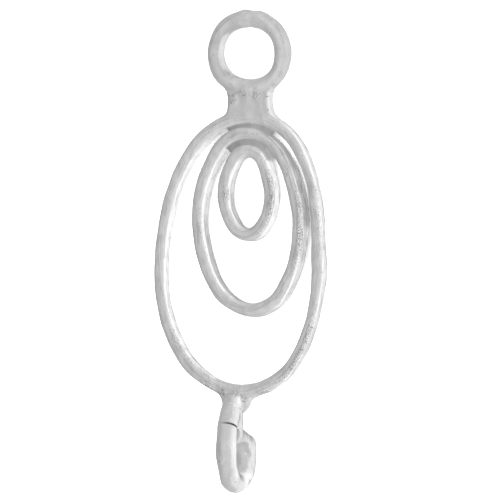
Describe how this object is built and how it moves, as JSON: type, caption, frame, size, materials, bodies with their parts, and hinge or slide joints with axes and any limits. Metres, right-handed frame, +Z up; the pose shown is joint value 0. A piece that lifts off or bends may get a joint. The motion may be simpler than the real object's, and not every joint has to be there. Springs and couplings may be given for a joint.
{
  "type": "hollow oval spacer, a silver jewellery connector",
  "caption": "Silver connector with nested open ovals hung from one point, between a round soldered eye and a cut loop that stands across it.",
  "frame": {"origin": "centre of the footprint on the table, at table height, with the spacer lying face up on the back of its loop and the back of its eye", "axes": "+Y along the spacer towards the eye, +X across it to the right, +Z up out of its front"},
  "size_m": [0.0112, 0.029, 0.0043],
  "materials": {
    "silver": "cast silver, hand polished, with a satin grain, fine pits and dull solder"
  },
  "bodies": {
    "root": {"oval_spacer": "silver"}
  },
  "joints": []
}
